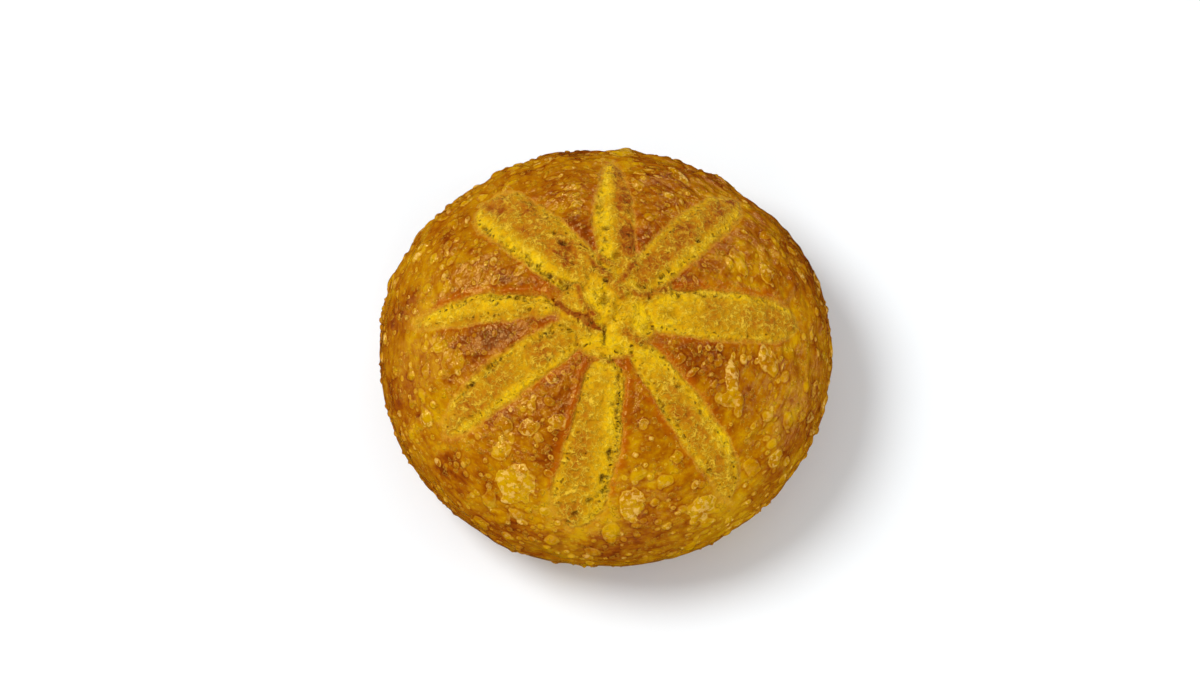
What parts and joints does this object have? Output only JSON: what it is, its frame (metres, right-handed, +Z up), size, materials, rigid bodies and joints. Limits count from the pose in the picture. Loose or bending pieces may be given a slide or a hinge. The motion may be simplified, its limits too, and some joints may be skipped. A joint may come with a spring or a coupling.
{
  "type": "sourdough loaf",
  "caption": "Round domed sourdough boule with a blistered golden crust and a star of opened scores on a flat underside.",
  "frame": {"origin": "on the table, under the middle of the loaf's bounding box", "axes": "+Z up through the crown, +X along the wider way of the slightly oval outline, -Y towards the viewer"},
  "size_m": [0.21, 0.198, 0.1003],
  "materials": {
    "crust": "baked crust, golden ochre to red-brown, blistered, with yellow crumb showing in the scores"
  },
  "bodies": {
    "root": {"loaf": "crust"}
  },
  "joints": []
}
